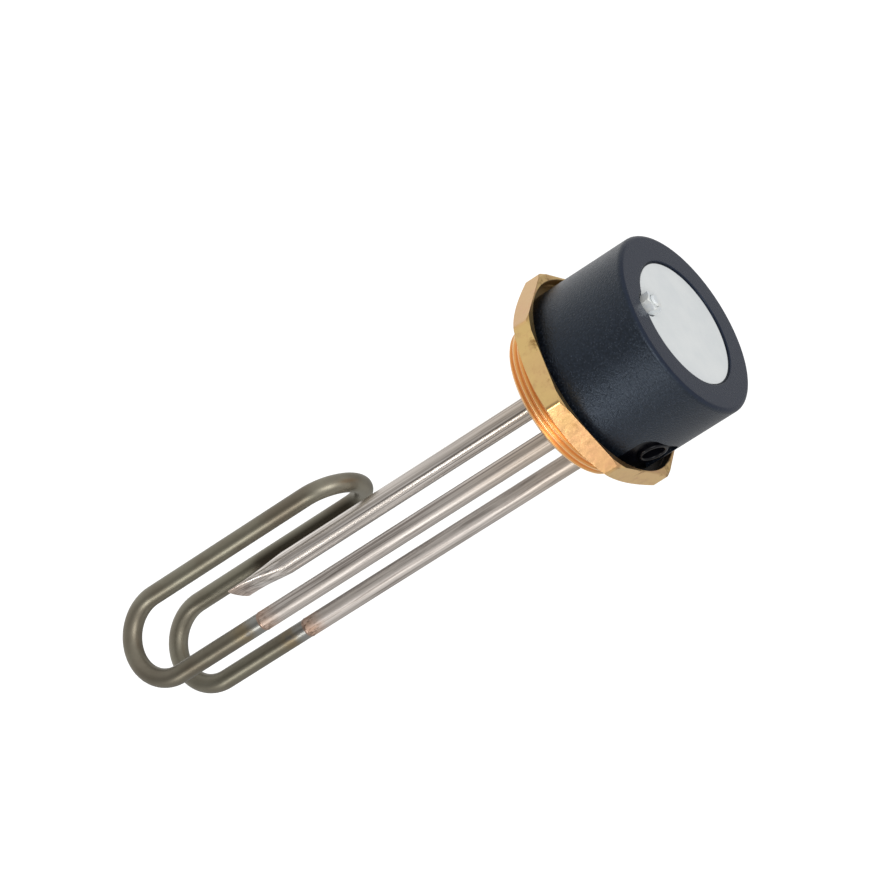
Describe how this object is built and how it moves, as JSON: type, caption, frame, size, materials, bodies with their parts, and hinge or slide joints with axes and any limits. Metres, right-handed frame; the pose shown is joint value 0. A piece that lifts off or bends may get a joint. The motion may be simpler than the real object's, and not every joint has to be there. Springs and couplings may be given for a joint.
{
  "type": "screw plug immersion heater",
  "caption": "Screw plug water heater: octagon brass plug with pipe thread, folded hairpin element, thermostat pocket and a moulded terminal cap with cable entry.",
  "frame": {"origin": "centre of the seat face under the flange, on the thread's axis", "axes": "+Z along the thread's axis out through the cap, +X towards the cable entry, element in -Z"},
  "size_m": [0.086, 0.086, 0.2854],
  "materials": {
    "head_brass": "hot stamped brass, machined thread and seat",
    "cap_moulding": "spark-textured moulded black plastic",
    "label_face": "pale bare label",
    "zinc_steel": "bright zinc plate",
    "tinned_tube": "drawn and tinned tube",
    "element_alloy": "oxidised nickel alloy sheath",
    "braze_metal": "braze metal",
    "grommet_rubber": "black rubber",
    "seal_ceramic": "unglazed ceramic",
    "terminal_brass": "turned brass",
    "base_moulding": "dark phenolic moulding",
    "cover_moulding": "cream moulding",
    "dial_moulding": "red moulding",
    "stem_metal": "drawn brass tube"
  },
  "bodies": {
    "heater": {"brass_head": "head_brass", "cap": "cap_moulding", "rating_label": "label_face", "cap_nut": "zinc_steel", "cap_stud": "zinc_steel", "cable_grommet": "grommet_rubber", "thermostat_pocket": "tinned_tube", "cold_leg_near": "tinned_tube", "cold_leg_far": "tinned_tube", "braze_collars": "braze_metal", "element_sheath": "element_alloy", "braze_fillets": "braze_metal", "terminal_pin_near": "zinc_steel", "terminal_pin_far": "zinc_steel", "end_seal_near": "seal_ceramic", "end_seal_far": "seal_ceramic", "terminal_nuts": "terminal_brass", "terminal_washers": "zinc_steel", "link_strap": "terminal_brass", "line_plate": "terminal_brass", "terminal_screws": "terminal_brass", "thermostat_base": "base_moulding", "thermostat_cover": "cover_moulding", "thermostat_stem": "stem_metal", "earth_screw": "terminal_brass", "earth_washer": "zinc_steel"},
    "dial": {"temperature_dial": "dial_moulding"},
    "button": {"reset_button": "dial_moulding"}
  },
  "joints": [
    {"name": "dial_turn", "type": "hinge", "parent": "heater", "child": "dial", "pos_m": [-0.0125, 0.0054, 0.0243], "axis": [0, 0, 1], "range_deg": [-135, 135]},
    {"name": "reset_press", "type": "slide", "parent": "heater", "child": "button", "axis": [0, 0, -1], "range_m": [0, 0.0015], "stiffness_N_per_m": 300, "springref_m": -0.001}
  ]
}
